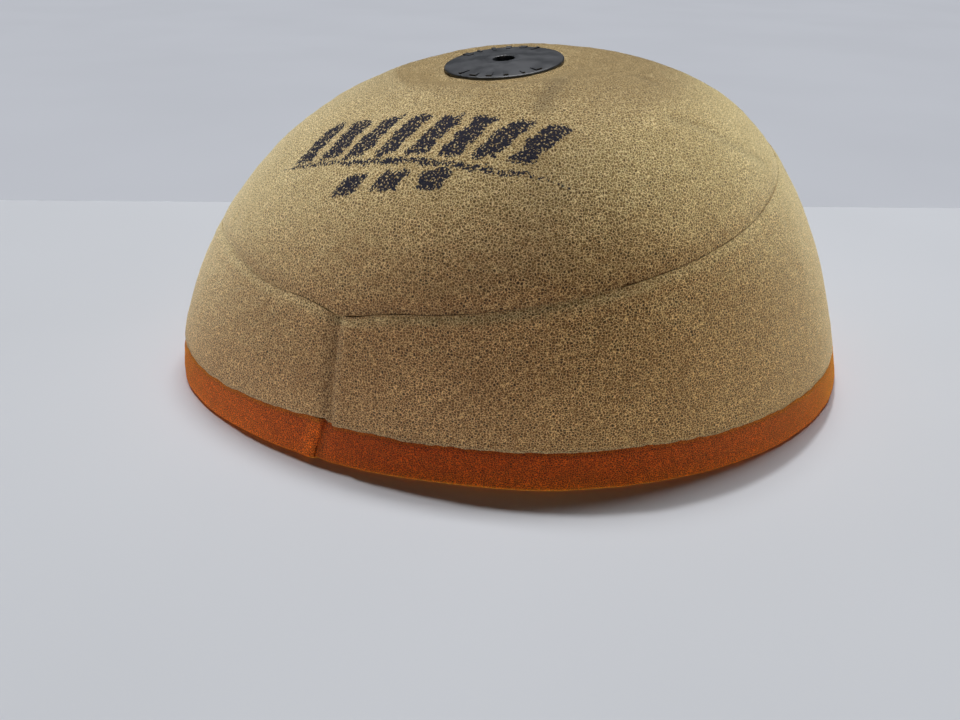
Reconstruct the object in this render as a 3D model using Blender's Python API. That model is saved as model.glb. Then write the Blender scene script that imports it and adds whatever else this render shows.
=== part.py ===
"""Two-layer foam air filter for an off-road motorcycle, as an assembly of its separate pieces.

The filter is an egg-plan dome, open underneath. A coarse tan outer foam is bonded over a fine
orange inner foam, each layer made of a side band and a cap panel, on an orange sealing strip.
Two plastic washers on a sleeve clamp the top and carry the fixing bolt.

Metres, +Z up, +X along the length towards the blunt end. The origin is the centre of the open
base, on the plane the sealing strip rests on. Touching pieces keep a small modelling gap.
"""

import math

import bmesh
import bpy
from mathutils import Vector

# ---- overall shape
LENGTH = 0.230
WIDTH = 0.162
HEIGHT = 0.100
EGG = 0.095                  # how much wider the plan is at the blunt end, and narrower at the other
PLAN_POWER = 1.9             # 2 would be a plain ellipse
AXIS_X = -0.002              # the dome's own vertical axis
RISE = (1.56, -0.24, -0.31)  # profile exponents, each a mean and its parts in cos(angle), cos(2 angle)
SPREAD = (3.27, 0.61, -0.29)

# ---- foam layers
OUTER_FOAM = 0.010
INNER_FOAM = 0.007
RIM_HEIGHT = 0.013
RIM_CHAMFER = 0.001
GAP = 0.0003                 # between pieces that touch
LAYER_GAP = 0.0005           # between the two curved foam layers

# ---- seams
SEAM_HEIGHT = (0.0575, 0.0127, 0.005, -0.0004, 0.0011)  # mean, then parts in cos of 1 to 4 times the angle
# the cap seam sags where the side band's ends meet and beside it: middle and spread in degrees, depth
SEAM_DIPS = ((-133.0, 7.0, 0.0027), (-152.0, 11.0, 0.0021))
BAND_JOINT = -133.0          # degrees round the dome's axis
RIM_JOINT = -135.5

# ---- washers, on an axis tilted with the top of the dome
WASHER_X = -0.007
WASHER_Z = 0.0970
WASHER_LEAN_X = 6.3          # degrees towards -X
WASHER_LEAN_Y = 3.3          # degrees towards -Y
WASHER_RADIUS = 0.0179
WASHER_EDGE = 0.0009
WASHER_HUB = 0.0017
HUB_RADIUS = 0.0065
BOLT_HOLE_RADIUS = 0.0033
SLEEVE_RADIUS = 0.005
CLAMP_SQUEEZE = 0.9          # foam thickness left under the washers
CLAMP_FLAT = 0.0205          # the foam is flat under the washers and just past their edge
CLAMP_REACH = 0.034          # where the dome is no longer flattened by the washers

# ---- mesh density
AROUND = 64
SIDE_ROWS = 6
CAP_ROWS = 6
LATHE = 32


def lean_vector():
    """The washers' axis, pointing up out of the dome."""
    x = -math.sin(math.radians(WASHER_LEAN_X))
    y = -math.sin(math.radians(WASHER_LEAN_Y))
    return Vector((x, y, 1.0)).normalized()


def smooth(t):
    t = min(max(t, 0.0), 1.0)
    return t * t * (3.0 - 2.0 * t)


def harmonics(terms, phi):
    return sum(t * math.cos(k * phi) for k, t in enumerate(terms))


def base_radius(phi, inset):
    """Distance from the dome's axis to the base outline in one direction."""
    a = LENGTH / 2.0 - inset
    b = WIDTH / 2.0 - inset
    c, s = math.cos(phi), math.sin(phi)
    low, high = 0.0, a + abs(AXIS_X)
    for _ in range(48):
        r = (low + high) / 2.0
        x = AXIS_X + r * c
        y = r * s
        width = b * (1.0 + EGG * x / a)
        value = (abs(x) / a) ** PLAN_POWER + (abs(y) / width) ** PLAN_POWER
        if value < 1.0:
            low = r
        else:
            high = r
    return (low + high) / 2.0


def dome_point(phi, rise, inset):
    """A point on the dome at a fraction of its height, inset from the outer surface."""
    n = harmonics(RISE, phi)
    m = harmonics(SPREAD, phi)
    r = base_radius(phi, inset) * (1.0 - rise ** n) ** (1.0 / m)
    x = AXIS_X + r * math.cos(phi)
    return Vector((x, r * math.sin(phi), rise * (HEIGHT - inset)))


def washer_centre(inset):
    """Where the washers' axis meets the surface at this depth in the foam."""
    top = Vector((WASHER_X, 0.0, WASHER_Z))
    return top - lean_vector() * inset * CLAMP_SQUEEZE


def dome_height(x, y, inset):
    """Height of the dome over one plan point, flattened where the washers clamp it."""
    phi = math.atan2(y, x - AXIS_X)
    n = harmonics(RISE, phi)
    m = harmonics(SPREAD, phi)
    share = math.hypot(x - AXIS_X, y) / base_radius(phi, inset)
    free = (HEIGHT - inset) * (1.0 - min(share, 1.0) ** m) ** (1.0 / n)
    centre = washer_centre(inset)
    axis = lean_vector()
    seat = centre.z - (axis.x * (x - centre.x) + axis.y * (y - centre.y)) / axis.z
    away = math.hypot(x - centre.x, y - centre.y)
    hold = 1.0 - smooth((away - CLAMP_FLAT) / (CLAMP_REACH - CLAMP_FLAT))
    return free + (seat - free) * hold


def seam_height(phi):
    """Height of the seam between cap panel and side band, on the outer surface."""
    height = harmonics(SEAM_HEIGHT, phi)
    for middle, width, depth in SEAM_DIPS:
        off = (math.degrees(phi) - middle + 180.0) % 360.0 - 180.0
        height -= depth * math.exp(-((off / width) ** 2))
    return height


def material(name, colour, roughness):
    mat = bpy.data.materials.new(name)
    mat.use_nodes = True
    shader = mat.node_tree.nodes["Principled BSDF"]
    shader.inputs["Base Color"].default_value = (*colour, 1.0)
    shader.inputs["Roughness"].default_value = roughness
    return mat


def add_object(name, verts, faces, mat):
    mesh = bpy.data.meshes.new(name)
    mesh.from_pydata([tuple(v) for v in verts], [], faces)
    mesh.materials.append(mat)
    mesh.update()
    obj = bpy.data.objects.new(name, mesh)
    bpy.context.scene.collection.objects.link(obj)
    return obj


def sweep(name, sections, closed, mat):
    """Join equal closed sections into one solid: a full ring, or a strip with two end faces."""
    count = len(sections[0])
    verts = [v for section in sections for v in section]
    faces = []
    last = len(sections) if closed else len(sections) - 1
    for i in range(last):
        a = i * count
        b = ((i + 1) % len(sections)) * count
        for j in range(count):
            k = (j + 1) % count
            faces.append((a + j, b + j, b + k, a + k))
    if not closed:
        faces.append(tuple(range(count)))
        end = (len(sections) - 1) * count
        faces.append(tuple(end + j for j in reversed(range(count))))
    return add_object(name, verts, faces, mat)


def ring_angles():
    return [2.0 * math.pi * i / AROUND - math.pi for i in range(AROUND)]


def strip_angles(joint_degrees):
    """Angles of a strip whose two ends meet at the joint, on the same grid as the full rings."""
    joint = math.radians(joint_degrees)
    half = GAP / 2.0 / base_radius(joint, 0.0) * 1.2
    step = 2.0 * math.pi / AROUND
    inside = []
    for phi in ring_angles():
        turn = (phi - joint) % (2.0 * math.pi)
        if 0.25 * step < turn < 2.0 * math.pi - 0.25 * step:
            inside.append(turn)
    return [joint + half] + [joint + t for t in sorted(inside)] + [joint - half + 2.0 * math.pi]


def spread(low, high, rows):
    return [low + (high - low) * i / rows for i in range(rows + 1)]


def side_section(phi, near, far):
    """Section of a side band between two depths, from the rim up to the cap seam."""
    top = (seam_height(phi) - 0.5 * GAP) / HEIGHT
    floor = RIM_HEIGHT + GAP
    outer = [dome_point(phi, u, near) for u in spread(floor / (HEIGHT - near), top, SIDE_ROWS)]
    inner = [dome_point(phi, u, far) for u in spread(floor / (HEIGHT - far), top, SIDE_ROWS)]
    return outer + inner[::-1]


def cap_line(phi, inset):
    """One surface line of a cap panel: seam, clamped flat, then the edge of the sleeve hole."""
    start = dome_point(phi, (seam_height(phi) + 0.8 * GAP) / HEIGHT, inset)
    centre = washer_centre(inset)
    hole = SLEEVE_RADIUS + GAP + 0.0001
    way = Vector((math.cos(phi), math.sin(phi)))
    flat = centre.xy + way * (CLAMP_FLAT - 0.0005)
    plan = [start.xy.lerp(flat, (i / CAP_ROWS) ** 1.3) for i in range(1, CAP_ROWS + 1)]
    plan.append(centre.xy + way * hole)
    return [start] + [Vector((p.x, p.y, dome_height(p.x, p.y, inset))) for p in plan]


def cap_section(phi, near, far):
    return cap_line(phi, near) + cap_line(phi, far)[::-1]


def rim_section(phi):
    """Section of the sealing strip: flat underneath, with its outer bottom edge taken off."""
    full = OUTER_FOAM + INNER_FOAM
    foot = dome_point(phi, 0.0, RIM_CHAMFER)
    outer = [dome_point(phi, z / HEIGHT, 0.0) for z in spread(RIM_CHAMFER, RIM_HEIGHT, 2)]
    inner = [dome_point(phi, z / (HEIGHT - full), full) for z in spread(0.0, RIM_HEIGHT, 2)]
    return [foot] + outer + inner[::-1]


def build_foam(tan, orange):
    deep = OUTER_FOAM + LAYER_GAP
    full = OUTER_FOAM + INNER_FOAM
    band = strip_angles(BAND_JOINT)
    sweep("outer_side_foam", [side_section(p, 0.0, OUTER_FOAM) for p in band], False, tan)
    sweep("inner_side_foam", [side_section(p, deep, full) for p in band], False, orange)
    sweep("sealing_rim", [rim_section(p) for p in strip_angles(RIM_JOINT)], False, orange)
    sweep("outer_cap_foam", [cap_section(p, 0.0, OUTER_FOAM) for p in ring_angles()], True, tan)
    sweep("inner_cap_foam", [cap_section(p, deep, full) for p in ring_angles()], True, orange)


def lathe(name, profile, mat):
    """Turn a closed profile of (radius, height) round the washers' axis."""
    bm = bmesh.new()
    ring = [bm.verts.new((r, 0.0, h)) for r, h in profile]
    edges = [bm.edges.new((v, ring[(i + 1) % len(ring)])) for i, v in enumerate(ring)]
    bmesh.ops.spin(
        bm, geom=ring + edges, cent=(0.0, 0.0, 0.0), axis=(0.0, 0.0, 1.0),
        angle=2.0 * math.pi, steps=LATHE, use_merge=True, use_duplicate=False,
    )
    bmesh.ops.remove_doubles(bm, verts=bm.verts[:], dist=1e-6)
    mesh = bpy.data.meshes.new(name)
    bm.to_mesh(mesh)
    bm.free()
    mesh.materials.append(mat)
    obj = bpy.data.objects.new(name, mesh)
    bpy.context.scene.collection.objects.link(obj)
    obj.location = (WASHER_X, 0.0, WASHER_Z)
    obj.rotation_euler = lean_vector().to_track_quat("Z", "Y").to_euler()
    return obj


def washer_profile(seat, way):
    """Shallow cone with a flat hub. `seat` is the face on the foam, `way` is +1 up or -1 down."""
    edge = WASHER_RADIUS
    points = [
        (BOLT_HOLE_RADIUS, 0.0),
        (BOLT_HOLE_RADIUS, WASHER_HUB),
        (HUB_RADIUS, WASHER_HUB),
        (edge - 0.0005, WASHER_EDGE),
        (edge, WASHER_EDGE - 0.0004),
        (edge, 0.0),
    ]
    points = [(r, seat + way * h) for r, h in points]
    return points if way > 0 else points[::-1]


def build_washers(black):
    stack = (OUTER_FOAM + INNER_FOAM) * CLAMP_SQUEEZE
    lathe("washer_top", washer_profile(GAP, 1), black)
    lathe("washer_bottom", washer_profile(-stack - GAP, -1), black)
    low, r0, r1 = -stack, BOLT_HOLE_RADIUS, SLEEVE_RADIUS
    lathe("washer_sleeve", [(r0, low), (r0, 0.0), (r1, 0.0), (r1, low)], black)


def face_outwards():
    """Turn each solid's faces outwards, by the sign of its volume."""
    for obj in bpy.context.scene.objects:
        mesh = obj.data
        volume = 0.0
        for poly in mesh.polygons:
            ids = poly.vertices
            a = mesh.vertices[ids[0]].co
            for j in range(1, len(ids) - 1):
                b = mesh.vertices[ids[j]].co
                c = mesh.vertices[ids[j + 1]].co
                volume += a.dot(b.cross(c))
        if volume < 0.0:
            mesh.flip_normals()


def main():
    for old in list(bpy.data.objects):
        bpy.data.objects.remove(old, do_unlink=True)
    tan = material("tan_foam", (0.56, 0.42, 0.22), 0.9)
    orange = material("orange_foam", (0.72, 0.20, 0.03), 0.9)
    black = material("black_plastic", (0.035, 0.037, 0.042), 0.5)
    build_foam(tan, orange)
    build_washers(black)
    face_outwards()


main()
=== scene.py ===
"""Looks of the two-layer foam air filter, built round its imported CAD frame.

Every foam piece is made directly as a fine mesh on the same dome formulas as the CAD source, with
its seams, joints and surface relief moved along the surface normal. Metres, +Z up, one shared frame.
"""

import math

import bmesh
import bpy
import numpy as np
from mathutils import Matrix, Vector


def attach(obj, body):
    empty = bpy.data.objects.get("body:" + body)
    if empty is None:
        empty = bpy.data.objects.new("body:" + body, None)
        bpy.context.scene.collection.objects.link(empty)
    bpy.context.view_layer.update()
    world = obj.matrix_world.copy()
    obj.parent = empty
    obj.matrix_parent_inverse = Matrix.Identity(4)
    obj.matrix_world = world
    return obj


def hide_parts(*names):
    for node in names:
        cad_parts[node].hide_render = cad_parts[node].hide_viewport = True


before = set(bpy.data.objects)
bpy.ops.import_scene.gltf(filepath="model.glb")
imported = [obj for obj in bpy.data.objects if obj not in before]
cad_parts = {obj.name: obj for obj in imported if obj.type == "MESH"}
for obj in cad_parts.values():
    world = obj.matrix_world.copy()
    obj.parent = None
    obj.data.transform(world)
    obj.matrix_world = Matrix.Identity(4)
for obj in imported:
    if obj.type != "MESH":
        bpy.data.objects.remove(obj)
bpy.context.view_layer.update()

# ---- shape of the dome, as in the CAD source
LENGTH = 0.230
WIDTH = 0.162
HEIGHT = 0.100
EGG = 0.095
PLAN_POWER = 1.9
AXIS_X = -0.002
RISE = (1.56, -0.24, -0.31)
SPREAD = (3.27, 0.61, -0.29)
OUTER_FOAM = 0.010
INNER_FOAM = 0.007
FULL_FOAM = OUTER_FOAM + INNER_FOAM
LAYER_GAP = 0.0005
RIM_HEIGHT = 0.013
SEAM_HEIGHT = (0.0575, 0.0127, 0.005, -0.0004, 0.0011)
SEAM_DIPS = ((-133.0, 7.0, 0.0027), (-152.0, 11.0, 0.0021))
BAND_JOINT = math.radians(-133.0)
RIM_JOINT = math.radians(-135.5)
WASHER_CENTRE = np.array((-0.007, 0.0, 0.0970))
WASHER_LEAN = (6.3, 3.3)
WASHER_RADIUS = 0.0179
WASHER_EDGE = 0.0009
WASHER_HUB = 0.0017
HUB_RADIUS = 0.0065
BOLT_HOLE_RADIUS = 0.0033
SLEEVE_RADIUS = 0.005
CLAMP_SQUEEZE = 0.9
CLAMP_FLAT = 0.0205
CLAMP_REACH = 0.034
GAP = 0.0003

# ---- what the visual model adds
CLOSE = 0.00003              # gap left between foam pieces that are glued
PITCH = 0.0011               # mesh spacing round the dome
JOINT_CROWDING = 0.6         # how much closer the mesh lines stand beside a joint
JOINT_REACH = 0.007
SHARP_ANGLE = math.radians(50.0)

# noise layers: size of the features and their height, from slow waves to a fine grain
FOAM_RELIEF = ((0.024, 0.00030), (0.009, 0.00012), (0.0023, 0.00008), (0.0014, 0.00006))
RAGGED_EDGE = ((0.0050, 0.00030), (0.0019, 0.00034))
INK_WOBBLE = ((0.0022, 0.0010),)

# soft lines in the foam: height or depth, distance of the middle from a seam or an edge, spread
SEAM_SINK = (0.0006, 0.0, 0.0026)
EDGE_SINK = (0.0004, 0.0, 0.0018)
EDGE_LIP = (0.0002, 0.0030, 0.0022)
JOINT_SINK = (0.0003, 0.0, 0.0010)
JOINT_LIP = (0.0002, 0.0030, 0.0024)
BAND_FOOT_SINK = (0.0003, 0.0, 0.0006)
RIM_TOP_SINK = (0.0004, 0.0, 0.0007)
RIM_RIDGE = (0.00038, -0.0022, 0.0022)
RIM_HOLLOW = (0.00038, 0.0010, 0.0020)
WASHER_SWELL = (0.0006, WASHER_RADIUS + 0.0015, 0.0016)

# painted shade and painted highlights: darker lines in grooves, at joints and under overhangs, paler
# lines where edges catch the light: strength, distance of the middle, spread
CAP_SEAM_PAINTED_SHADE = (0.8, 0.0006, 0.0024)
BAND_EDGE_PAINTED_SHADE = (0.4, 0.0, 0.0010)
BAND_JOINT_PAINTED_SHADE = (0.8, -0.0012, 0.0028)
BAND_FOOT_PAINTED_SHADOW = (0.9, 0.0, 0.0011)
INNER_SEAM_PAINTED_SHADE = (1.0, 0.0, 0.0016)
RIM_JOINT_PAINTED_SHADE = (0.8, 0.0012, 0.0012)
RIM_TOP_PAINTED_SHADOW = (0.9, 0.0, 0.0016)
RIM_FOOT_PAINTED_HIGHLIGHT = (0.8, 0.0, 0.0030)
RIM_RIDGE_PAINTED_HIGHLIGHT = (0.9, -0.0022, 0.0018)

# the cap seam's pull, and the share it loses to each side of the band's joint: the angles over
# which the loss sets in, where it is gone again and over which it goes
SEAM_PULL = 0.85
LEFT_LOSS = (0.42, 0.05, 1.6, 0.5)
RIGHT_LOSS = (0.52, 1.8, 3.1, 0.6)

FLAT_UNDER_WASHER = WASHER_RADIUS + 0.0002    # no relief nearer to the washer's axis than this
FLAT_BLUR = 0.0009
INNER_FLAT_BLUR = 0.004

RIM_ROUND = 0.0013           # rounding of the strip's lower edges, outside and inside
RIM_INNER_ROUND = 0.0008
RIM_SLANT = math.radians(2.6)    # how far the rim's joint leans over its height
RIM_SLANT_REACH = 0.09           # radians to each side of the joint
RIM_STEP = 0.0016                # the strip stands higher beside its joint
RIM_STEP_BLUR = 0.012            # radians over which the step rises, and then goes down again
RIM_STEP_REACH = 0.17
RIM_SET_BACK = 0.00015
RIM_JOINT_BLUR = 0.0020
END_LIGHT_LEFT = (0.40, -0.05)       # painted light: paler stretches towards the strip's ends: how much, and beyond which x
END_LIGHT_RIGHT = (0.15, 0.06)
END_LIGHT_REACH = 0.05

PORE = 0.00074
FINE_PORE = 0.00064
RANDOMNESS = 0.85
STRAND = (0.13, 0.03)        # distances from a cell's wall, as shares of a pore
HOLE = (0.14, 0.25)
SHEEN = 0.62


# ==== shape functions

def harmonics(terms, phi):
    return sum(t * np.cos(k * phi) for k, t in enumerate(terms))


def smooth(t):
    t = np.clip(t, 0.0, 1.0)
    return t * t * (3.0 - 2.0 * t)


def bump(distance, spread):
    return np.exp(-((distance / spread) ** 2))


def soft_line(away, line):
    """A value that is highest along a line beside a seam or an edge."""
    height, middle, spread = line
    return height * bump(away - middle, spread)


def wrap(angle):
    return (angle + np.pi) % (2.0 * np.pi) - np.pi


def outline_table(inset):
    """Distance from the dome's axis to the base outline at many angles."""
    phi = np.linspace(-np.pi, np.pi, 2881)
    a = LENGTH / 2.0 - inset
    b = WIDTH / 2.0 - inset
    low = np.zeros_like(phi)
    high = np.full_like(phi, a + abs(AXIS_X))
    for _ in range(40):
        r = (low + high) / 2.0
        x = AXIS_X + r * np.cos(phi)
        y = r * np.sin(phi)
        value = (np.abs(x) / a) ** PLAN_POWER
        value = value + (np.abs(y) / (b * (1.0 + EGG * x / a))) ** PLAN_POWER
        low = np.where(value < 1.0, r, low)
        high = np.where(value < 1.0, high, r)
    return phi, (low + high) / 2.0


TABLES = {}


def base_radius(phi, inset):
    if inset not in TABLES:
        TABLES[inset] = outline_table(inset)
    return np.interp(wrap(phi), *TABLES[inset])


def dome_point(phi, rise, inset):
    n = harmonics(RISE, phi)
    m = harmonics(SPREAD, phi)
    r = base_radius(phi, inset) * (1.0 - rise ** n) ** (1.0 / m)
    z = rise * (HEIGHT - inset) + 0.0 * phi
    return np.stack([AXIS_X + r * np.cos(phi), r * np.sin(phi), z], axis=-1)


def lean_vector():
    x, y = (-math.sin(math.radians(d)) for d in WASHER_LEAN)
    v = np.array((x, y, 1.0))
    return v / np.linalg.norm(v)


LEAN = lean_vector()


def dome_height(x, y, inset):
    phi = np.arctan2(y, x - AXIS_X)
    n = harmonics(RISE, phi)
    m = harmonics(SPREAD, phi)
    share = np.hypot(x - AXIS_X, y) / base_radius(phi, inset)
    free = (HEIGHT - inset) * (1.0 - np.minimum(share, 1.0) ** m) ** (1.0 / n)
    c = WASHER_CENTRE - LEAN * inset * CLAMP_SQUEEZE
    seat = c[2] - (LEAN[0] * (x - c[0]) + LEAN[1] * (y - c[1])) / LEAN[2]
    away = np.hypot(x - c[0], y - c[1])
    hold = 1.0 - smooth((away - CLAMP_FLAT) / (CLAMP_REACH - CLAMP_FLAT))
    return free + (seat - free) * hold


def seam_height(phi):
    height = harmonics(SEAM_HEIGHT, phi)
    for middle, width, depth in SEAM_DIPS:
        height = height - depth * bump(np.degrees(wrap(phi - math.radians(middle))), width)
    return height


def rim_top(phi):
    """Top of the orange strip: it stands higher on one side of its own joint."""
    away = wrap(phi - RIM_JOINT - 0.5 * RIM_SLANT)
    left = 1.0 - smooth(away / RIM_STEP_BLUR + 0.5)
    ragged = layered_noise(dome_point(phi, 0.1, 0.0), RAGGED_EDGE, 11)
    step = RIM_STEP * left * np.exp(np.minimum(away, 0.0) / RIM_STEP_REACH)
    return RIM_HEIGHT + ragged + step


# ==== relief

HASH_PRIMES = (73856093, 19349663, 83492791, 26544357)
HASH_ROUNDS = ((15, 739982445), (12, 695872825))
HASH_WORD = 0xFFFFFFFF
HASH_RANGE = 0xFFFFFF


def lattice(i, j, k, seed):
    """A repeatable value from 0 to 1 at each whole-numbered point."""
    h = 0
    for value, prime in zip((i, j, k, seed), HASH_PRIMES):
        h = h ^ (value * prime)
    h = h & HASH_WORD
    for shift, factor in HASH_ROUNDS:
        h = ((h ^ (h >> shift)) * factor) & HASH_WORD
    return ((h ^ (h >> 15)) & HASH_RANGE) / HASH_RANGE


def noise(points, size, seed):
    """Smooth noise from -1 to 1 with features of one size."""
    p = points / size
    base = np.floor(p).astype(np.int64)
    t = p - base
    t = t * t * (3.0 - 2.0 * t)
    total = 0.0
    for corner in range(8):
        weight = 1.0
        cell = []
        for axis in range(3):
            step = corner >> axis & 1
            weight = weight * (t[..., axis] if step else 1.0 - t[..., axis])
            cell.append(base[..., axis] + step)
        total = total + weight * lattice(*cell, seed)
    return 2.0 * total - 1.0


def layered_noise(points, layers, seed):
    """Noise in several layers of (size, height), each with its own seed."""
    return sum(height * noise(points, size, seed + k) for k, (size, height) in enumerate(layers))


def relief(points, seed):
    """The foam's own unevenness: slow waves and a fine grain. Each surface has a seed of its own."""
    return layered_noise(points, FOAM_RELIEF, seed)


def rounded(height, radius):
    """How far a rounded lower edge draws back at a height above it."""
    short = np.maximum(radius - height, 0.0)
    return radius - np.sqrt(radius ** 2 - short ** 2)


def path_distance(points, path):
    """Distance from each point to a line through the path's points."""
    best = np.full(points.shape[:-1], 1e9)
    for a, b in zip(path[:-1], path[1:]):
        a, b = np.array(a), np.array(b)
        t = np.clip(((points - a) @ (b - a)) / ((b - a) @ (b - a)), 0.0, 1.0)
        gap = points - (a + t[..., None] * (b - a))
        best = np.minimum(best, np.linalg.norm(gap, axis=-1))
    return best


# ==== meshes

def strip_angles(joint, closed):
    """Angles round the dome, even along its outline and closer together beside the joint."""
    turn = np.linspace(0.0, 2.0 * np.pi, 7201)
    radius = base_radius(joint + turn, 0.0)
    away = np.minimum(turn, 2.0 * np.pi - turn) * radius
    step = PITCH * (1.0 - JOINT_CROWDING * bump(away, JOINT_REACH))
    density = radius / step
    total = np.concatenate([[0.0], np.cumsum((density[1:] + density[:-1]) / 2.0)])
    total = total * (turn[1] - turn[0])
    count = int(round(total[-1]))
    even = np.interp(np.linspace(0.0, total[-1], count + 1), total, turn)
    if closed:
        return joint + even[:-1]
    half = CLOSE / radius[0]
    return joint + np.clip(even, half, 2.0 * np.pi - half)


def walk(lines, near, middle, far=()):
    """Points along each line: at the `near` distances from its start, then evenly, then at the
    `far` distances from its end. Also gives their distances from the start and from the end."""
    gaps = np.linalg.norm(np.diff(lines, axis=1), axis=2)
    along = np.concatenate([np.zeros((len(lines), 1)), np.cumsum(gaps, axis=1)], axis=1)
    points = []
    places = []
    for line, s in zip(lines, along):
        first = near[-1]
        last = s[-1] - (far[-1] if len(far) else 0.0)
        inner = np.linspace(first, last, middle + 1)[1:]
        at = np.concatenate([near, inner, s[-1] - np.array(far[-2::-1])])
        points.append(np.stack([np.interp(at, s, line[:, k]) for k in range(3)], axis=-1))
        places.append(at)
    places = np.array(places)
    return np.array(points), places, along[:, -1:] - places


def normals(grid, closed):
    """Outward unit normals of a grid of points (round the dome, from below to above)."""
    if closed:
        around = np.roll(grid, -1, axis=0) - np.roll(grid, 1, axis=0)
    else:
        around = np.gradient(grid, axis=0)
    up = np.gradient(grid, axis=1)
    n = np.cross(around, up)
    return n / np.maximum(np.linalg.norm(n, axis=-1, keepdims=True), 1e-12)


def add_mesh(name, sections, closed, attributes=None):
    """Join equal closed sections into one solid and store values on its points."""
    count, along = sections.shape[:2]
    index = np.arange(count * along).reshape(count, along)
    a = index if closed else index[:-1]
    b = np.roll(index, -1, axis=0) if closed else index[1:]
    quads = np.stack([a, b, np.roll(b, -1, axis=1), np.roll(a, -1, axis=1)], axis=-1)
    quads = quads.reshape(-1, 4)
    verts = sections.reshape(-1, 3)
    p = verts[quads]
    volume = np.einsum("ij,ij->i", p[:, 0], np.cross(p[:, 1], p[:, 2])).sum()
    volume += np.einsum("ij,ij->i", p[:, 0], np.cross(p[:, 2], p[:, 3])).sum()
    faces = quads.tolist()
    if not closed:
        faces.append(index[0].tolist())
        faces.append(index[-1][::-1].tolist())
    mesh = bpy.data.meshes.new(name)
    mesh.from_pydata(verts.tolist(), [], faces)
    if volume < 0.0:
        mesh.flip_normals()
    smooth_flags = np.ones(len(faces), bool)
    if not closed:
        smooth_flags[-2:] = False
    mesh.polygons.foreach_set("use_smooth", smooth_flags)
    for key, values in (attributes or {}).items():
        layer = mesh.attributes.new(key, "FLOAT", "POINT")
        layer.data.foreach_set("value", values.astype(np.float32).ravel())
    mesh.set_sharp_from_angle(angle=SHARP_ANGLE)
    mesh.update()
    obj = bpy.data.objects.new(name, mesh)
    bpy.context.scene.collection.objects.link(obj)
    return obj


def place(obj, node, material):
    """Give a piece its material, hang it on the root body and hide the CAD node that it stands for."""
    obj.data.materials.append(material)
    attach(obj, "root")
    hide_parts(node)
    return obj


LINE_POINTS = 220            # points of a fine line over a cap, down to the clamped ring
CLAMP_POINTS = 61            # and on from there to the hole
BAND_POINTS = 200            # points of a fine line up a band
CAP_CROWDING = 1.3           # more than 1 sets a cap's points closer together beside the seam


def cap_lines(phi, inset):
    """Fine lines over a cap panel, from its seam to the sleeve hole."""
    rise = (seam_height(phi) + CLOSE) / HEIGHT
    start = dome_point(phi, rise, inset)[:, :2]
    centre = (WASHER_CENTRE - LEAN * inset * CLAMP_SQUEEZE)[:2]
    way = np.stack([np.cos(phi), np.sin(phi)], axis=-1)
    flat = centre + way * CLAMP_FLAT
    hole = centre + way * (SLEEVE_RADIUS + GAP)
    t = np.linspace(0.0, 1.0, LINE_POINTS)[None, :, None] ** CAP_CROWDING
    out = start[:, None] + (flat - start)[:, None] * t
    t = np.linspace(0.0, 1.0, CLAMP_POINTS)[None, 1:, None]
    out = np.concatenate([out, flat[:, None] + (hole - flat)[:, None] * t], axis=1)
    z = dome_height(out[..., 0], out[..., 1], inset)
    return np.concatenate([out, z[..., None]], axis=-1)


# distances of the mesh rows from a seam and from a plain edge
SEAM_ROWS = [0.0, 0.0003, 0.0006, 0.0009, 0.0013, 0.0018, 0.0024, 0.0031, 0.0040]
EDGE_ROWS = [0.0, 0.0003, 0.0007, 0.0012, 0.0018]
# evenly spaced rows beyond those, on the outer and the inner face of a layer: the outer layer's
# under True, the inner layer's under False
CAP_ROWS = {True: (112, 28), False: (60, 64)}
BAND_ROWS = {True: (84, 20), False: (40, 56)}

FOLD = [(0.0045, -0.0290, 0.0990), (0.0008, -0.0357, 0.0974), (-0.0017, -0.0400, 0.0957),
        (-0.0026, -0.0425, 0.0946)]
CREASE = [(0.032, -0.042, 0.0910), (0.037, -0.041, 0.0900), (0.049, -0.040, 0.0840),
          (0.063, -0.035, 0.0770)]
SHORT_CREASE = [(0.028, -0.021, 0.0983), (0.033, -0.025, 0.0968)]
# each one's path, sink and painted shade along the fold
CAP_FOLDS = ((FOLD, (0.0005, 0.0, 0.0026), (1.0, 0.0, 0.0026)),
             (CREASE, (0.0003, 0.0, 0.0020), (0.6, 0.0, 0.0018)),
             (SHORT_CREASE, (0.0003, 0.0, 0.0018), (0.5, 0.0, 0.0016)))


def cap_marks(points):
    """Folds pressed into the cap: how far they sink, and how much painted shade they get."""
    sink = np.zeros(points.shape[:-1])
    painted_shade = np.zeros(points.shape[:-1])
    for path, sunk, darker in CAP_FOLDS:
        away = path_distance(points, path)
        sink = sink + soft_line(away, sunk)
        # painted shade along the fold
        painted_shade = painted_shade + soft_line(away, darker)
    return sink, np.minimum(painted_shade, 1.0)


# ---- the printed mark: a row of even slanted strokes, a thin line and three short bars under it,
# placed by distances along it and up it from its centre
MARK_CENTRE = np.array((-0.033, -0.042, 0.085))
MARK_ALONG = np.array((0.897, -0.423, 0.141))
STROKES = 8
STROKE_STEP = 0.0092
STROKE_WIDTH = 0.0062
STROKE_START = -0.0415
STROKE_SLANT = 0.75          # sideways shift over height
STROKE_FOOT = -0.0012
STROKE_HEIGHT = 0.0118
STROKE_FALL = 0.06           # the row drops this much per length towards the right
BARS = 3
BAR_STEP = 0.0122
BAR_WIDTH = 0.0078
BAR_START = -0.0255
BAR_FOOT = -0.0132
BAR_TOP = -0.0083
LINE_HEIGHT = -0.0058
LINE_FALL = 0.09
LINE_THICKNESS = 0.0007      # from its middle to its edge, at its widest place
LINE_MIDDLE = -0.004
LINE_HALF = 0.044
INK_BLUR = 0.0015
INK_FACING = 0.3             # only on the side of the dome that faces the same way


def soft_step(value):
    """0 below nought, 1 above, blurred over the ink's soft edge."""
    return smooth(value / INK_BLUR + 0.5)


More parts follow.
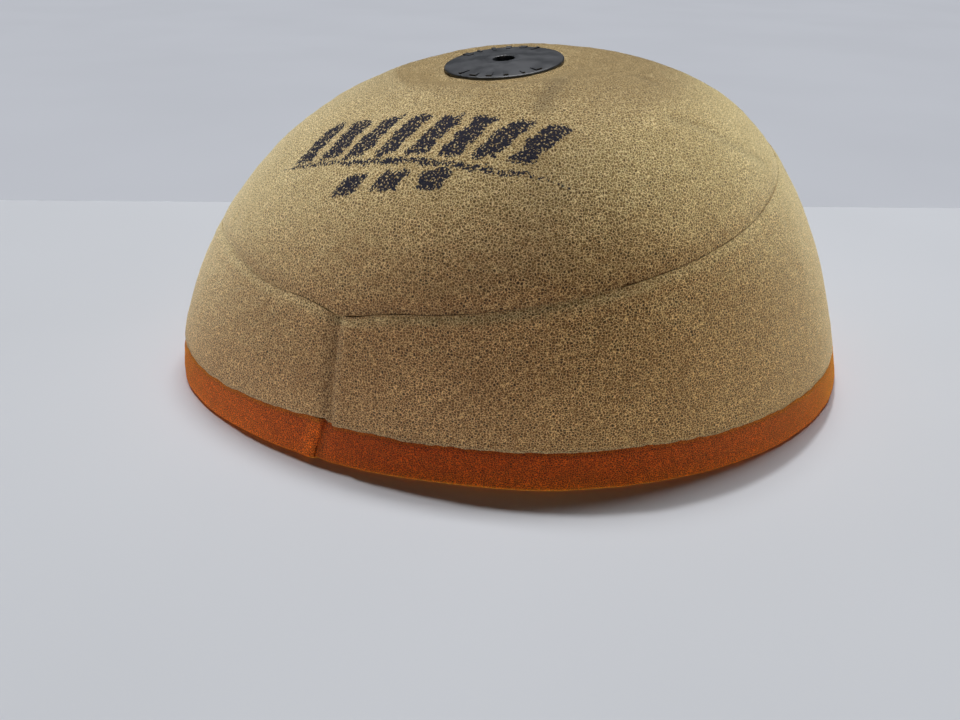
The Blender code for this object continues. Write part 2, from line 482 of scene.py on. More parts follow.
def stroke(u, v, left, width, low, high):
    """A slanted bar: `left` is its left edge at the foot."""
    edge = left + STROKE_SLANT * (v - low)
    across = soft_step(u - edge) * soft_step(edge + width - u)
    return across * soft_step(v - low) * soft_step(high - v)


def printed_mark(points, normal):
    """Ink on the cap, from 0 to 1."""
    near = np.linalg.norm(points - MARK_CENTRE, axis=-1)
    nearest = np.unravel_index(np.argmin(near), near.shape)
    along = MARK_ALONG / np.linalg.norm(MARK_ALONG)
    across = np.cross(normal[nearest], along)
    across = across / np.linalg.norm(across)
    u = (points - MARK_CENTRE) @ along + layered_noise(points, INK_WOBBLE, 71)
    v = (points - MARK_CENTRE) @ across + layered_noise(points, INK_WOBBLE, 72)
    ink = np.zeros_like(u)
    for k in range(STROKES):
        left = STROKE_START + k * STROKE_STEP
        foot = STROKE_FOOT - STROKE_FALL * k * STROKE_STEP
        ink = np.maximum(ink, stroke(u, v, left, STROKE_WIDTH, foot, foot + STROKE_HEIGHT))
    for k in range(BARS):
        left = BAR_START + k * BAR_STEP
        ink = np.maximum(ink, stroke(u, v, left, BAR_WIDTH, BAR_FOOT, BAR_TOP))
    line = LINE_HEIGHT - LINE_FALL * u
    thick = LINE_THICKNESS * np.clip(1.0 - ((u - LINE_MIDDLE) / LINE_HALF) ** 2, 0.0, 1.0)
    ink = np.maximum(ink, soft_step(thick - np.abs(v - line)) * (thick > 0.0))
    return ink * (normal @ normal[nearest] > INK_FACING)


def lost(away, much, over, end, out):
    """A share that sets in beside the band's joint and is gone again further on."""
    return much * smooth(away / over) * smooth((end - away) / out)


def seam_strength(phi):
    """How deeply the cap seam is pulled in: about half as deep for a stretch left of the band's
    joint, and less and less to the right of it."""
    right = wrap(phi - BAND_JOINT)
    return SEAM_PULL - lost(-right, *LEFT_LOSS) - lost(right, *RIGHT_LOSS)


def solid_sections(outer, way, shape, inner, under, lift):
    """Both faces of a foam panel, each moved along its normals, joined into closed sections."""
    outer = outer + way * shape[..., None]
    inner = inner + under * lift[..., None]
    return np.concatenate([outer, inner[:, ::-1]], axis=1)


def build_cap(name, near, far, seed, printed):
    """A cap panel between two insets from the dome's outside. The printed one is the outer one."""
    phi = strip_angles(BAND_JOINT, True)
    rows, inner_rows = CAP_ROWS[printed]
    outer, from_seam, _ = walk(cap_lines(phi, near), SEAM_ROWS, rows)
    inner, inner_from_seam, _ = walk(cap_lines(phi, far), EDGE_ROWS, inner_rows)
    way = normals(outer, True)
    away = np.linalg.norm(outer[..., :2] - WASHER_CENTRE[:2], axis=-1)
    flat = smooth((away - FLAT_UNDER_WASHER) / FLAT_BLUR)
    strength = seam_strength(phi)[:, None]
    shape = relief(outer, seed) * flat - strength * soft_line(from_seam, SEAM_SINK)
    # painted shade in the groove along the seam
    painted_shade = strength * soft_line(from_seam, CAP_SEAM_PAINTED_SHADE)
    ink = np.zeros_like(painted_shade)
    if printed:
        sink, fold_painted_shade = cap_marks(outer)
        shape = shape + soft_line(away, WASHER_SWELL) * flat - sink
        painted_shade = np.maximum(painted_shade, fold_painted_shade)
        ink = printed_mark(outer, way)
    under = normals(inner, True)
    away = np.linalg.norm(inner[..., :2] - WASHER_CENTRE[:2], axis=-1)
    lift = relief(inner, seed + 20) * smooth((away - CLAMP_FLAT) / INNER_FLAT_BLUR)
    inner_painted_shade = np.zeros(inner.shape[:2])
    if not printed:
        lift = lift + soft_line(inner_from_seam, SEAM_SINK)
        # painted shade in the inner layer's groove along the seam
        inner_painted_shade = soft_line(inner_from_seam, INNER_SEAM_PAINTED_SHADE)
    sections = solid_sections(outer, way, shape, inner, under, lift)
    values = {
        "painted_shade": np.concatenate([painted_shade, inner_painted_shade[:, ::-1]], axis=1),
        "ink": np.concatenate([ink, np.zeros(inner.shape[:2])], axis=1),
    }
    return add_mesh(name, sections, True, values)


def band_lines(phi, inset, floor):
    """Fine lines up a side band, from the orange strip to the cap seam."""
    low = floor / (HEIGHT - inset)
    high = (seam_height(phi) - CLOSE) / HEIGHT
    rise = low[:, None] + (high - low)[:, None] * np.linspace(0.0, 1.0, BAND_POINTS)[None]
    return dome_point(phi[:, None], rise, inset)


def edge_shape(down, strength):
    """The band's top edge: rounded over, with a slight lip below it."""
    return strength * (soft_line(down, EDGE_LIP) - soft_line(down, EDGE_SINK))


def joint_shape(side):
    """The band's butt joint: one end stands proud of the other."""
    proud = soft_line(side, JOINT_LIP) - soft_line(side, JOINT_SINK)
    return np.where(side > 0.0, proud, -soft_line(side, SEAM_SINK))


def build_band(name, near, far, seed, outside):
    """A side band between two insets from the dome's outside, with a gap at its butt joint."""
    phi = strip_angles(BAND_JOINT, False)
    floor = rim_top(phi) + CLOSE
    rows, inner_rows = BAND_ROWS[outside]
    outer, up, down = walk(band_lines(phi, near, floor), EDGE_ROWS, rows, SEAM_ROWS)
    lines = band_lines(phi, far, floor)
    inner, _, inner_down = walk(lines, EDGE_ROWS, inner_rows, SEAM_ROWS[::2])
    side = wrap(phi - BAND_JOINT)[:, None] * np.hypot(outer[..., 0] - AXIS_X, outer[..., 1])
    way = normals(outer, False)
    strength = seam_strength(phi)[:, None]
    shape = relief(outer, seed) + edge_shape(down, strength) + joint_shape(side)
    shape = shape - soft_line(up, BAND_FOOT_SINK)
    # painted shade in the groove under the seam and on the sunk side of the butt joint, and a painted
    # shadow under the band's foot
    painted_shade = np.maximum(strength * soft_line(down, BAND_EDGE_PAINTED_SHADE), soft_line(side, BAND_JOINT_PAINTED_SHADE))
    painted_shade = np.maximum(painted_shade, soft_line(up, BAND_FOOT_PAINTED_SHADOW))
    under = normals(inner, False)
    lift = relief(inner, seed + 20)
    inner_painted_shade = np.zeros(inner.shape[:2])
    if not outside:
        inner_side = wrap(phi - BAND_JOINT)[:, None] * np.hypot(inner[..., 0], inner[..., 1])
        nearest = np.minimum(inner_down, np.abs(inner_side))
        lift = lift + soft_line(nearest, SEAM_SINK)
        # painted shade in the inner layer's grooves
        inner_painted_shade = soft_line(nearest, INNER_SEAM_PAINTED_SHADE)
    sections = solid_sections(outer, way, shape, inner, under, lift)
    values = {"painted_shade": np.concatenate([painted_shade, inner_painted_shade[:, ::-1]], axis=1)}
    return add_mesh(name, sections, False, values)


RIM_ROWS = np.concatenate([[0.0, 0.012, 0.04, 0.08], np.linspace(0.12, 0.95, 20), [0.975, 1.0]])
RIM_INNER_ROWS = np.linspace(0.0, 1.0, 13)
RIM_UNDER_ROWS = np.linspace(0.0, 1.0, 18)[1:-1]


def rim_wall(phi, top, rows, inset):
    """One wall of the orange strip, up from its foot, with its lines aslant beside the joint."""
    turn = np.minimum(phi - RIM_JOINT, 2.0 * np.pi - (phi - RIM_JOINT))
    lean = RIM_SLANT * bump(turn, RIM_SLANT_REACH)[:, None] * (rows[None] - 0.5)
    z = top[:, None] * rows[None]
    wall = dome_point(phi[:, None] + lean, z / (HEIGHT - inset), inset)
    return wall, normals(wall, False), z


def painted_end_light(x):
    """Painted light: how much paler the strip is towards its two ends."""
    left, left_from = END_LIGHT_LEFT
    right, right_from = END_LIGHT_RIGHT
    return left * smooth((left_from - x) / END_LIGHT_REACH) + right * smooth((x - right_from) / END_LIGHT_REACH)


def build_rim():
    """The orange strip that closes the base, with a gap at its own butt joint."""
    phi = strip_angles(RIM_JOINT, False)
    top = rim_top(phi) - CLOSE
    outer, way, z = rim_wall(phi, top, RIM_ROWS, 0.0)
    side = wrap(phi - RIM_JOINT)[:, None] * np.hypot(outer[..., 0], outer[..., 1])
    down = top[:, None] - z
    ridge = soft_line(side, RIM_RIDGE) * smooth(0.5 - side / RIM_JOINT_BLUR)
    hollow = soft_line(side, RIM_HOLLOW) * smooth(0.5 + side / RIM_JOINT_BLUR)
    shape = relief(outer, 300) - rounded(z, RIM_ROUND) + ridge - hollow
    shape = shape - soft_line(down, RIM_TOP_SINK) - RIM_SET_BACK
    # painted shade beside the joint's ridge and a painted shadow under the band's overhang
    painted_shade = np.maximum(soft_line(side, RIM_JOINT_PAINTED_SHADE), soft_line(down, RIM_TOP_PAINTED_SHADOW))
    # painted highlights along the lower edge and on the joint's ridge, and painted light towards the
    # strip's ends
    painted_highlight = soft_line(z, RIM_FOOT_PAINTED_HIGHLIGHT) + soft_line(side, RIM_RIDGE_PAINTED_HIGHLIGHT) + painted_end_light(outer[..., 0])
    painted_highlight = np.minimum(painted_highlight, 1.0) * (1.0 - 0.8 * painted_shade)
    outer = outer + way * shape[..., None]
    inner, inner_way, inner_z = rim_wall(phi, top, RIM_INNER_ROWS, FULL_FOAM)
    inner_shape = relief(inner, 320) + rounded(inner_z, RIM_INNER_ROUND)
    inner = inner + inner_way * inner_shape[..., None]
    under = inner[:, :1] + (outer[:, :1] - inner[:, :1]) * RIM_UNDER_ROWS[None, :, None]
    under[..., 2] = 0.5 * (relief(under, 340) + 0.0001)
    outer[:, 0, 2] = 0.0
    sections = np.concatenate([outer, inner[:, ::-1], under], axis=1)
    sections[..., 2] = np.maximum(sections[..., 2], 0.0)
    rest = np.zeros((len(phi), inner.shape[1] + under.shape[1]))
    values = {
        "painted_shade": np.concatenate([painted_shade, rest], axis=1),
        "painted_highlight": np.concatenate([painted_highlight, rest], axis=1),
    }
    return add_mesh("rim_strip", sections, False, values)


def block_corners(radius, angle, length, width, low, high):
    """Eight corners of a small block lying along a radius."""
    corners = []
    for z in (low, high):
        for out, side in ((-1, -1), (1, -1), (1, 1), (-1, 1)):
            r = radius + out * length / 2.0
            turn = angle + side * width / 2.0 / radius
            corners.append((r * math.cos(turn), r * math.sin(turn), z))
    return corners


# corner numbers as block_corners gives them
BLOCK_FACES = [(0, 3, 2, 1), (4, 5, 6, 7), (0, 1, 5, 4), (1, 2, 6, 5), (2, 3, 7, 6), (3, 0, 4, 7)]

WASHER_SIDES = 192
CONE_START = (HUB_RADIUS + 0.0008, WASHER_HUB - 0.00014)    # radius and height
CONE_END = (WASHER_RADIUS - 0.0005, WASHER_EDGE)
CONE_SLOPE = (CONE_END[1] - CONE_START[1]) / (CONE_END[0] - CONE_START[0])
BLOCK_END = 0.0169           # outer end of the raised blocks, and how they sit on the cone
BLOCK_SUNK = 0.0006
BLOCK_PROUD = 0.00028


def cone_height(radius):
    """Height of the washer's shallow cone above its seat."""
    return CONE_START[1] + CONE_SLOPE * (radius - CONE_START[0])


def washer_profile():
    """Half the washer's section, as (radius, height): hole, hub, cone, rounded edge and seat."""
    hole, hub, edge = BOLT_HOLE_RADIUS, WASHER_HUB, WASHER_EDGE
    profile = [(hole, 0.0), (hole, hub - 0.00025), (hole + 0.00008, hub - 0.00008)]
    profile += [(hole + 0.00025, hub), (HUB_RADIUS - 0.0004, hub), (HUB_RADIUS, hub - 0.00004)]
    profile += [(r, cone_height(r)) for r in (CONE_START[0], 0.0110, 0.0150, CONE_END[0])]
    profile += [(WASHER_RADIUS - 0.00022, edge - 0.00008), (WASHER_RADIUS - 0.00006, edge - 0.00024)]
    profile += [(WASHER_RADIUS, edge - 0.0005), (WASHER_RADIUS, 0.0001)]
    profile += [(WASHER_RADIUS - 0.0001, 0.0), (0.006, 0.0)]
    return profile


def washer_mesh(name, seat, way, groups, length):
    """A turned washer with raised blocks on its outer face, in groups of (middle, count, step)."""
    radius, height = np.array(washer_profile()).T
    theta = np.linspace(0.0, 2.0 * np.pi, WASHER_SIDES + 1)[:-1, None]
    r = radius[None] + 0.0 * theta
    h = seat + way * height[None] + 0.0 * theta
    ring = np.stack([r * np.cos(theta), r * np.sin(theta), h], axis=-1)
    across = Vector((0.0, 1.0, 0.0)).cross(Vector(LEAN)).normalized()
    turned = Matrix((across, Vector(LEAN).cross(across), Vector(LEAN))).transposed()
    obj = add_mesh(name, ring @ np.array(turned).T + WASHER_CENTRE, True)
    blocks = bmesh.new()
    blocks.from_mesh(obj.data)
    for middle, count, step in groups:
        for k in range(count):
            angle = math.radians(middle + (k - (count - 1) / 2.0) * step)
            own_length = length * (1.0 - 0.18 * (k * 5 % 3))
            width = 0.0008 + 0.0004 * (k * 7 % 4)
            at = BLOCK_END - own_length / 2.0
            low = cone_height(at) - BLOCK_SUNK
            high = cone_height(at) + BLOCK_PROUD
            corners = block_corners(at, angle, own_length, width, low, high)
            verts = [blocks.verts.new(turned @ Vector((x, y, seat + way * z)) + Vector(WASHER_CENTRE))
                     for x, y, z in corners]
            for face in BLOCK_FACES:
                blocks.faces.new([verts[i] for i in face[::int(way)]])
    blocks.to_mesh(obj.data)
    blocks.free()
    return obj


# ==== materials

def add(tree, kind, inputs=None, **settings):
    """A node with its settings and its inputs, each a value or another node's output."""
    node = tree.nodes.new(kind)
    for key, value in settings.items():
        setattr(node, key, value)
    for key, value in (inputs or {}).items():
        socket = node.inputs[key]
        if isinstance(value, bpy.types.NodeSocket):
            tree.links.new(value, socket)
        else:
            socket.default_value = value
    return node


def mix(tree, factor, a, b, blend="MIX"):
    node = add(tree, "ShaderNodeMix", {0: factor, 6: a, 7: b}, data_type="RGBA", blend_type=blend)
    return node.outputs[2]


def math_node(tree, operation, *values):
    return add(tree, "ShaderNodeMath", dict(enumerate(values)), operation=operation).outputs[0]


def ramp(tree, value, low, high, out_low=0.0, out_high=1.0):
    inputs = {"Value": value, "From Min": low, "From Max": high, "To Min": out_low, "To Max": out_high}
    return add(tree, "ShaderNodeMapRange", inputs, interpolation_type="SMOOTHSTEP").outputs[0]


def new_material(name):
    material = bpy.data.materials.new(name)
    material.use_nodes = True
    return material, material.node_tree, material.node_tree.nodes["Principled BSDF"]


def rgba(colour):
    return (*colour, 1.0)


def cell_walls(tree, place_at, scale):
    """Distance to the nearest wall between rounded cells."""
    inputs = {"Vector": place_at, "Scale": scale, "Randomness": RANDOMNESS}
    cells = add(tree, "ShaderNodeTexVoronoi", inputs, feature="DISTANCE_TO_EDGE")
    return cells.outputs["Distance"]


BREAKS = (0.34, 0.56)                # ranges of the noise that breaks strands and ink
INK_BREAKS = (0.30, 0.60)
LIT = (0.20, 0.72)                   # painted light and shade: how far up a face looks, from shaded side colours to lit top colours
FACING_UP = (0.80, 1.0)
INK = (0.006, 0.010, 0.030)
UP_FACING_SHADE = (0.76, 0.73, 0.70)     # painted shade: foam that faces up is darkened, as if light fell straight into its holes
PAINTED_HIGHLIGHT_FACTOR = (1.45, 2.1, 1.5)              # painted highlight: orange foam made paler where light catches it, as a factor on its colour


def foam_material(name, pore, top, side, sheen, inked):
    """Open-cell foam: a bright network of strands, a dimmer one behind it, dark holes between.
    `top` and `side` are (strand, strand behind, hole) colours with painted light and shade: lit colours
    for faces that look up, shaded ones for faces that look sideways."""
    material, tree, shader = new_material(name)
    place_at = add(tree, "ShaderNodeTexCoord").outputs["Object"]
    wobble = add(tree, "ShaderNodeTexNoise", {"Vector": place_at, "Scale": 900.0, "Detail": 1.0})
    centred = add(tree, "ShaderNodeVectorMath", {0: wobble.outputs["Color"], 1: (0.5, 0.5, 0.5)},
                  operation="SUBTRACT").outputs[0]
    shift = add(tree, "ShaderNodeVectorMath", {0: centred, "Scale": 0.7 * pore},
                operation="SCALE").outputs[0]
    moved = add(tree, "ShaderNodeVectorMath", {0: place_at, 1: shift}, operation="ADD").outputs[0]
    front = cell_walls(tree, moved, 1.0 / pore)
    normal = add(tree, "ShaderNodeNewGeometry").outputs["Normal"]
    inward = add(tree, "ShaderNodeVectorMath", {0: normal, "Scale": -0.7 * pore},
                 operation="SCALE").outputs[0]
    deeper = add(tree, "ShaderNodeVectorMath", {0: moved, 1: inward}, operation="ADD").outputs[0]
    behind = cell_walls(tree, deeper, 0.9 / pore)
    breaks = add(tree, "ShaderNodeTexNoise", {"Vector": place_at, "Scale": 2.1 / pore, "Detail": 0.0})
    strands = math_node(tree, "MULTIPLY", ramp(tree, front, STRAND[0], STRAND[1]),
                        ramp(tree, breaks.outputs[0], *BREAKS))
    second = ramp(tree, behind, STRAND[0] * 1.4, STRAND[1])
    holes = math_node(tree, "MULTIPLY", ramp(tree, front, HOLE[0], HOLE[1]),
                      math_node(tree, "MULTIPLY_ADD", second, -0.7, 1.0))

    patches = add(tree, "ShaderNodeTexNoise", {"Vector": place_at, "Scale": 55.0, "Detail": 2.0})
    grain = add(tree, "ShaderNodeTexNoise", {"Vector": place_at, "Scale": 330.0, "Detail": 1.0})
    upward = add(tree, "ShaderNodeSeparateXYZ", {0: normal}).outputs[2]
    lit = ramp(tree, upward, *LIT)
    up_facing_painted_shade = ramp(tree, upward, *FACING_UP, 0.0, 0.9)
    # painted light and shade: shaded side colours turn into lit top colours as the face looks up
    light, middle, colour = [mix(tree, lit, rgba(side[k]), rgba(top[k])) for k in range(3)]
    shade = ramp(tree, patches.outputs[0], 0.3, 0.7, 0.0, 0.22)
    shade = math_node(tree, "ADD", shade, ramp(tree, grain.outputs[0], 0.3, 0.7, 0.0, 0.10))
    light = mix(tree, shade, light, middle)
    colour = mix(tree, holes, middle, colour)
    colour = mix(tree, strands, colour, light)
    sheen_weight = shader.inputs["Sheen Weight"]
    sheen_weight.default_value = SHEEN
    if inked:
        ink = add(tree, "ShaderNodeAttribute", attribute_name="ink").outputs["Fac"]
        specks = add(tree, "ShaderNodeTexNoise", {"Vector": moved, "Scale": 1.3 / pore, "Detail": 1.0})
        ragged = ramp(tree, specks.outputs[0], *INK_BREAKS, -0.80, 0.22)
        ink = ramp(tree, math_node(tree, "ADD", ink, ragged), 0.25, 0.60)
        colour = mix(tree, math_node(tree, "MULTIPLY", ink, 0.97), colour, rgba(INK))
        tree.links.new(math_node(tree, "MULTIPLY_ADD", ink, -SHEEN, SHEEN), sheen_weight)
    # painted shade: the shade stored on the mesh pulls the colour towards the hole colour
    painted_shade = add(tree, "ShaderNodeAttribute", attribute_name="painted_shade").outputs["Fac"]
    colour = mix(tree, math_node(tree, "MULTIPLY", painted_shade, 0.35), colour, rgba(side[2]))
    # painted shade on foam that faces up
    colour = mix(tree, up_facing_painted_shade, colour, rgba(UP_FACING_SHADE), "MULTIPLY")
    # painted highlight: the highlight stored on the mesh makes the colour paler
    painted_highlight = add(tree, "ShaderNodeAttribute", attribute_name="painted_highlight").outputs["Fac"]
    colour = mix(tree, painted_highlight, colour, rgba(PAINTED_HIGHLIGHT_FACTOR), "MULTIPLY")
    tree.links.new(colour, shader.inputs["Base Color"])

    height = math_node(tree, "ADD", strands, math_node(tree, "MULTIPLY", second, 0.3))
    bumps = add(tree, "ShaderNodeBump", {"Height": height, "Strength": 0.5, "Distance": 0.3 * pore})
    tree.links.new(bumps.outputs[0], shader.inputs["Normal"])
    shader.inputs["Roughness"].default_value = 0.85
    shader.inputs["Specular IOR Level"].default_value = 0.2
    shader.inputs["Sheen Roughness"].default_value = 0.5
    shader.inputs["Sheen Tint"].default_value = rgba(sheen)
    return material


def plastic_material(name, colour):
    material, tree, shader = new_material(name)
    place_at = add(tree, "ShaderNodeTexCoord").outputs["Object"]
    fine = add(tree, "ShaderNodeTexNoise", {"Vector": place_at, "Scale": 2500.0, "Detail": 2.0})
    broad = add(tree, "ShaderNodeTexNoise", {"Vector": place_at, "Scale": 180.0, "Detail": 3.0})
    lighter = rgba([1.25 * c for c in colour])
    tint = mix(tree, ramp(tree, broad.outputs[0], 0.35, 0.7), rgba(colour), lighter)
    tree.links.new(tint, shader.inputs["Base Color"])
    tree.links.new(ramp(tree, broad.outputs[0], 0.3, 0.7, 0.36, 0.52), shader.inputs["Roughness"])
    bumps = add(tree, "ShaderNodeBump", {"Height": fine.outputs[0], "Strength": 0.25, "Distance": 0.0001})
    tree.links.new(bumps.outputs[0], shader.inputs["Normal"])
    return material


def board_material(name, colour, roughness):
    material, tree, shader = new_material(name)
    place_at = add(tree, "ShaderNodeTexCoord").outputs["Object"]
    broad = add(tree, "ShaderNodeTexNoise", {"Vector": place_at, "Scale": 6.0, "Detail": 2.0})
    darker = rgba([0.97 * c for c in colour])
    tint = mix(tree, ramp(tree, broad.outputs[0], 0.3, 0.7), rgba(colour), darker)
    tree.links.new(tint, shader.inputs["Base Color"])
    shader.inputs["Roughness"].default_value = roughness
    shader.inputs["Specular IOR Level"].default_value = 0.1
    return material


# ==== the object

# painted light and shade: each foam gets lit colours for faces that look up and shaded colours for faces
# that look sideways
TAN_LIT_TOP = ((1.0, 0.83, 0.46), (0.44, 0.295, 0.112), (0.11, 0.060, 0.018))
TAN_SHADED_SIDE = ((1.0, 0.64, 0.28), (0.29, 0.126, 0.039), (0.040, 0.014, 0.004))
TAN_SHEEN = (0.95, 0.90, 0.62)
ORANGE_LIT_TOP = ((1.0, 0.34, 0.030), (0.62, 0.12, 0.006), (0.24, 0.034, 0.001))
ORANGE_SHADED_SIDE = ((0.86, 0.100, 0.003), (0.25, 0.017, 0.001), (0.036, 0.002, 0.0003))
ORANGE_SHEEN = (1.0, 0.56, 0.06)
tan = foam_material("coarse_tan_foam", PORE, TAN_LIT_TOP, TAN_SHADED_SIDE, TAN_SHEEN, True)
orange = foam_material("fine_orange_foam", FINE_PORE, ORANGE_LIT_TOP, ORANGE_SHADED_SIDE, ORANGE_SHEEN, False)
rim_orange = foam_material("rim_orange_foam", FINE_PORE, ORANGE_LIT_TOP, ORANGE_SHADED_SIDE, ORANGE_SHEEN, False)
black = plastic_material("black_plastic_satin", (0.042, 0.046, 0.052))

INNER_LAYER = OUTER_FOAM + LAYER_GAP             # inset of the inner layer's outer face
CLAMPED = FULL_FOAM * CLAMP_SQUEEZE              # thickness of the foam between the washers
TOP_BLOCKS = [(-104.0, 6, 17.0), (85.0, 6, 17.0)]
LOWER_BLOCKS = [(22.5, 8, 45.0)]
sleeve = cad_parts["washer_sleeve"]
sleeve.material_slots[0].material = black
pieces = [
    place(build_cap("foam_cap_outer", 0.0, OUTER_FOAM, 100, True),
          "outer_cap_foam", tan),
    place(build_band("foam_band_outer", 0.0, OUTER_FOAM, 140, True),
          "outer_side_foam", tan),
    place(build_cap("foam_cap_inner", INNER_LAYER, FULL_FOAM, 180, False),
          "inner_cap_foam", orange),
    place(build_band("foam_band_inner", INNER_LAYER, FULL_FOAM, 220, False),
          "inner_side_foam", orange),
    place(build_rim(), "sealing_rim", rim_orange),
    place(washer_mesh("mounting_washer", GAP, 1.0, TOP_BLOCKS, 0.0036),
          "washer_top", black),
    place(washer_mesh("lower_washer", -CLAMPED - GAP, -1.0, LOWER_BLOCKS, 0.0090),
          "washer_bottom", black),
    sleeve,
]


# ==== stage, light and camera

def slab(name, corners, top, depth, material):
    """A flat board with a straight-sided plan."""
    n = len(corners)
    verts = [(x, y, top) for x, y in corners] + [(x, y, top - depth) for x, y in corners]
    faces = [tuple(range(n)), tuple(reversed(range(n, 2 * n)))]
    faces += [(i, i + n, (i + 1) % n + n, (i + 1) % n) for i in range(n)]
    mesh = bpy.data.meshes.new(name)
    mesh.from_pydata(verts, [], faces)
    mesh.materials.append(material)
    mesh.update()
    obj = bpy.data.objects.new(name, mesh)
    bpy.context.scene.collection.objects.link(obj)
    return obj


BOARD_HALF = 3.0
BOARD_THICKNESS = 0.004
BACK_EDGE = ((-0.248, 0.1756), (0.261, 0.1367))      # two places on the board's back edge
GROUND_HALF = 6.0
GROUND_LEVEL = -0.0022
GROUND_THICKNESS = 0.01


def edge_y(x):
    """The board's straight back edge."""
    (x0, y0), (x1, y1) = BACK_EDGE
    return y0 + (x - x0) * (y1 - y0) / (x1 - x0)


board = board_material("pale_board", (0.68, 0.71, 0.76), 0.9)
beyond = board_material("pale_ground", (0.50, 0.52, 0.57), 0.9)
board_plan = [(-BOARD_HALF, -BOARD_HALF), (BOARD_HALF, -BOARD_HALF),
              (BOARD_HALF, edge_y(BOARD_HALF)), (-BOARD_HALF, edge_y(-BOARD_HALF))]
ground_plan = [(-GROUND_HALF, -GROUND_HALF), (GROUND_HALF, -GROUND_HALF),
               (GROUND_HALF, GROUND_HALF), (-GROUND_HALF, GROUND_HALF)]
stage_board = slab("stage_board", board_plan, 0.0, BOARD_THICKNESS, board)
stage_ground = slab("stage_ground", ground_plan, GROUND_LEVEL, GROUND_THICKNESS, beyond)

WALL_SIDES = 64
WALL_FOOT = -0.1
WALL_COLOUR = (0.46, 0.48, 0.53)


def far_walls(radius, height):
    """A pale drum far behind everything, seen by the camera but giving no light."""
    n = WALL_SIDES
    turn = [2.0 * math.pi * k / n for k in range(n)]
    verts = [(radius * math.cos(t), radius * math.sin(t), z) for z in (WALL_FOOT, height) for t in turn]
    faces = [((k + 1) % n, k, k + n, (k + 1) % n + n) for k in range(n)]
    faces.append(tuple(reversed(range(n, 2 * n))))
    material, _, shader = new_material("pale_wall")
    shader.inputs["Base Color"].default_value = (0.0, 0.0, 0.0, 1.0)
    shader.inputs["Emission Color"].default_value = rgba(WALL_COLOUR)
    shader.inputs["Emission Strength"].default_value = 1.0
    mesh = bpy.data.meshes.new("stage_wall")
    mesh.from_pydata(verts, [], faces)
    mesh.materials.append(material)
    mesh.update()
    obj = bpy.data.objects.new("stage_wall", mesh)
    obj.visible_diffuse = False
    obj.visible_glossy = False
    obj.visible_shadow = False
    bpy.context.scene.collection.objects.link(obj)


far_walls(5.9, 4.0)

KEY_AT = (0.09, 0.33, 1.2)
KEY_SIZE = (0.70, 0.12)
FILL_SIZE = (0.3, 0.3)
FILL_DISTANCE = 2.0
LIGHT_AIM = Vector((0.0, 0.0, 0.04))


def area_light(name, place_at, size, power, colour, only):
    """A soft light aimed at the object, `size` wide and high, that falls on `only` some objects.
    The stage doesn't block a light that comes from below its level."""
    data = bpy.data.lights.new(name, "AREA")
    data.shape = "RECTANGLE"
    data.size = size[0]
    data.size_y = size[1]
    data.energy = power
    data.color = colour
    obj = bpy.data.objects.new(name, data)
    obj.location = place_at
    obj.rotation_euler = (LIGHT_AIM - Vector(place_at)).to_track_quat("-Z", "Y").to_euler()
    obj.visible_camera = False
    obj.light_linking.receiver_collection = only
    if place_at[2] < 0.0:
        obj.light_linking.blocker_collection = only
    bpy.context.scene.collection.objects.link(obj)


def around(turn, rise):
    """A place at an angle round the object and above the ground, in degrees."""
    turn, rise = math.radians(turn), math.radians(rise)
    out = FILL_DISTANCE * math.cos(rise)
    return (out * math.cos(turn), out * math.sin(turn), FILL_DISTANCE * math.sin(rise))


def lit_set(name, objects):
    """The only objects that some light falls on."""
    chosen = bpy.data.collections.new(name)
    for obj in objects:
        chosen.objects.link(obj)
    return chosen


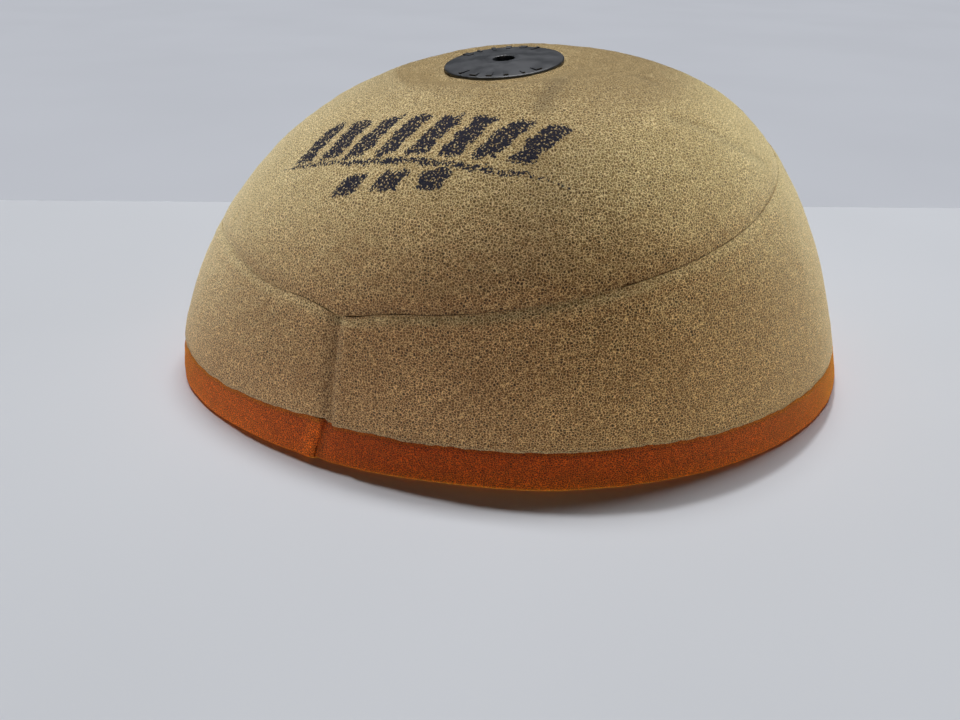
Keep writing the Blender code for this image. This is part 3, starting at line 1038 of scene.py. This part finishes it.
def sun_light(name, tilt, left, angle, strength, only):
    """An even overhead light, `tilt` degrees back behind the object and `left` degrees to its left."""
    data = bpy.data.lights.new(name, "SUN")
    data.angle = math.radians(angle)
    data.energy = strength
    obj = bpy.data.objects.new(name, data)
    obj.rotation_euler = (math.radians(-tilt), math.radians(-left), 0.0)
    obj.light_linking.receiver_collection = only
    bpy.context.scene.collection.objects.link(obj)


the_filter = lit_set("the_filter", pieces)
the_board = lit_set("the_board", [stage_board])
the_ground = lit_set("the_ground", [stage_ground])
area_light("key", KEY_AT, KEY_SIZE, 15.6, (1.0, 0.99, 1.0), the_filter)
area_light("key_on_board", KEY_AT, KEY_SIZE, 8.4, (1.0, 0.99, 0.99), the_board)
sun_light("even_on_board", 18.4, 8.0, 2.5, 1.15, the_board)
sun_light("even_on_ground", 17.5, 0.0, 2.5, 3.3, the_ground)
area_light("front", around(270, 5), FILL_SIZE, 1.0, (1.0, 0.84, 0.72), the_filter)
area_light("left", around(187, -12), FILL_SIZE, 23.5, (0.97, 1.0, 1.0), the_filter)
area_light("right", around(-19, -12), FILL_SIZE, 21.5, (0.95, 1.0, 0.78), the_filter)

world = bpy.data.worlds.new("studio")
world.use_nodes = True
background = world.node_tree.nodes["Background"]
background.inputs["Color"].default_value = (0.93, 0.95, 1.0, 1.0)
background.inputs["Strength"].default_value = 0.02
bpy.context.scene.world = world

CAMERA_AT = (-0.0402, -0.2410, 0.1375)
CAMERA_RIGHT = (0.9944, -0.10407, 0.01836)
CAMERA_UP = (0.03693, 0.505, 0.86233)
CAMERA_LENS = 28.94          # millimetres, on a sensor 36 mm wide


def add_camera():
    right = Vector(CAMERA_RIGHT).normalized()
    back = right.cross(Vector(CAMERA_UP)).normalized()
    up = back.cross(right)
    data = bpy.data.cameras.new("camera")
    data.lens = CAMERA_LENS
    data.sensor_width = 36.0
    data.clip_start = 0.01
    data.clip_end = 40.0
    obj = bpy.data.objects.new("camera", data)
    turned = Matrix((right, up, back)).transposed()
    obj.matrix_world = Matrix.Translation(CAMERA_AT) @ turned.to_4x4()
    bpy.context.scene.collection.objects.link(obj)
    bpy.context.scene.camera = obj


add_camera()
bpy.context.scene.view_settings.view_transform = "Standard"
